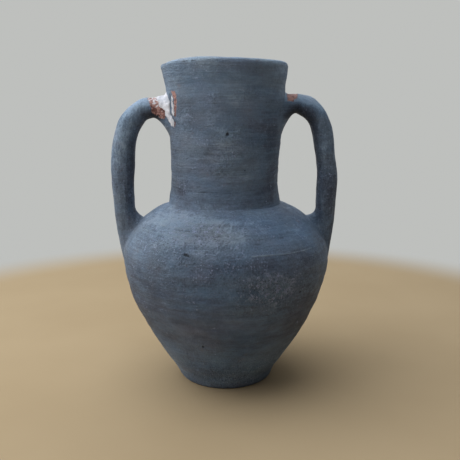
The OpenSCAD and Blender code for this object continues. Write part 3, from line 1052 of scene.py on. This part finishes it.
# How light the handles are: a tone everywhere, a painted highlight on what faces up and a little toward the
# front, and painted shade where they face the neck
HANDLE_TONE = 0.06
HANDLE_HIGHLIGHT = 1.1
HANDLE_SHADE = 0.6
HIGHLIGHT_FROM = np.array([0.0, -0.45, 0.89])


def handle(side):
    """One handle and its two roots, cut from one run of rings."""
    ring_grid, normals, start, end = whole_handle(side)
    for prefix, a, b, slot, coat in (
        ("upper_root_", 0, start, "chipped_root", root_coat),
        ("handle_", start, end, "painted_handle", handle_coat),
        ("lower_root_", end, len(ring_grid) - 1, "painted_handle", handle_coat),
    ):
        grid, normal = ring_grid[a:b + 1], normals[a:b + 1]
        # Painted highlight on the tops, brightest on what faces up and a little toward the front, and painted
        # shade on the faces turned to the neck
        top_highlight = np.maximum(normal @ HIGHLIGHT_FROM, 0) ** 2.5 * smoothstep(240, 285, grid[..., 2])
        inward = np.maximum(-normal[..., 0] * np.sign(grid[..., 0]), 0) ** 1.5
        tone_and_painted_light = HANDLE_TONE + HANDLE_HIGHLIGHT * top_highlight - HANDLE_SHADE * inward
        marks = marks_for(grid, prefix != "lower_root_", tone_and_painted_light, True)
        add_piece(prefix + side, grid, coat, marks)
    if side == "left":
        filler(ring_grid[:start + FLAKE_ROWS], normals[:start + FLAKE_ROWS])


handle("left")
handle("right")


# ---- floor, light and camera ----

FLOOR_HALF = 3.0
# How far from the pot the floor starts and ends its fade into the backdrop, in metres
FLOOR_FADE = (0.50, 0.66)
FLOOR_TINT = (0.43, 0.315, 0.190)
FLOOR_TINT_DEEP = (0.40, 0.290, 0.172)
BACKDROP = (0.515, 0.525, 0.510)
# Light that comes from each side of the room: axis, way along it and colour, blended by direction
ROOM = {
    "left": (0, -1, (0.45, 0.46, 0.48)),
    "right": (0, 1, (0.03, 0.03, 0.03)),
    "front": (1, -1, (0.19, 0.20, 0.21)),
    "back": (1, 1, (1.00, 1.08, 1.18)),
    "top": (2, 1, (0.22, 0.25, 0.29)),
}
# Lamps: place, width, watts and colour
LAMPS = {
    "window": ((-1.40, -0.15, 1.05), 2.2, 22.0, (0.90, 0.96, 1.0)),
    "overhead": ((-0.3, 0.2, 1.7), 2.2, 25.5, (0.88, 0.95, 1.0)),
}
LAMP_AIM_Z = 0.2
# The photograph's camera, worked out from the seams of the floorboards
CAMERA_AT = (0.0, -0.670, 0.305)
CAMERA_DOWN = math.radians(11.86)
CAMERA_RIGHT = math.radians(0.42)
FOCAL = 48.5
SENSOR = 36.0


def floor():
    """A plain floor that fades into the backdrop's own colour some way off."""
    mesh = bpy.data.meshes.new("floor")
    s = FLOOR_HALF
    mesh.from_pydata([(-s, -s, 0), (s, -s, 0), (s, s, 0), (-s, s, 0)], [], [(0, 1, 2, 3)])
    piece = bpy.data.objects.new("floor", mesh)
    bpy.context.scene.collection.objects.link(piece)
    n = Nodes(bpy.data.materials.new("floor"))
    color = n.mix(n.range(n.noise(4, 3, 0.5), 0.3, 0.7), FLOOR_TINT, FLOOR_TINT_DEEP)
    matt = n.add("BsdfDiffuse", {"Color": color})
    glow = n.add("Emission", {"Color": BACKDROP})
    away = n.add("VectorMath", {0: n.place}, operation="LENGTH").outputs["Value"]
    mesh.materials.append(n.blend(n.range(away, *FLOOR_FADE), matt, glow, "OutputMaterial"))


def room_light():
    """The world: soft light of a different strength from each side, in front of a plain backdrop."""
    n = Nodes(bpy.data.worlds.new("studio"), "Generated")
    toward = n.add("SeparateXYZ", {0: n.place}).outputs
    total = (0, 0, 0)
    for axis, sign, color in ROOM.values():
        facing = n.math("MAXIMUM", n.times(toward[axis], sign))
        inputs = {0: color, "Scale": n.times(facing, facing)}
        share = n.add("VectorMath", inputs, operation="SCALE").outputs[0]
        total = n.add("VectorMath", {0: total, 1: share}).outputs[0]
    room = n.add("Background", {"Color": total})
    plain = n.add("Background", {"Color": BACKDROP})
    seen = n.add("LightPath").outputs["Is Camera Ray"]
    bpy.context.scene.world = n.blend(seen, room, plain, "OutputWorld")


def area_light(name, at, size, watts, color):
    """A soft round lamp aimed at the middle of the pot."""
    data = bpy.data.lights.new(name, "AREA")
    data.shape, data.size, data.energy, data.color = "DISK", size, watts, color
    lamp = bpy.data.objects.new(name, data)
    bpy.context.scene.collection.objects.link(lamp)
    x, y, z = at
    lamp.location = at
    down = math.atan2(math.hypot(x, y), z - LAMP_AIM_Z)
    lamp.rotation_euler = (down, 0, math.atan2(y, x) + math.pi / 2)


def camera():
    data = bpy.data.cameras.new("camera")
    data.lens, data.sensor_width = FOCAL, SENSOR
    eye = bpy.data.objects.new("camera", data)
    eye.location = CAMERA_AT
    eye.rotation_euler = (math.pi / 2 - CAMERA_DOWN, 0, -CAMERA_RIGHT)
    bpy.context.scene.collection.objects.link(eye)
    bpy.context.scene.camera = eye


floor()
room_light()
for name, lamp in LAMPS.items():
    area_light(name, *lamp)
camera()
bpy.context.scene.view_settings.view_transform = "Standard"
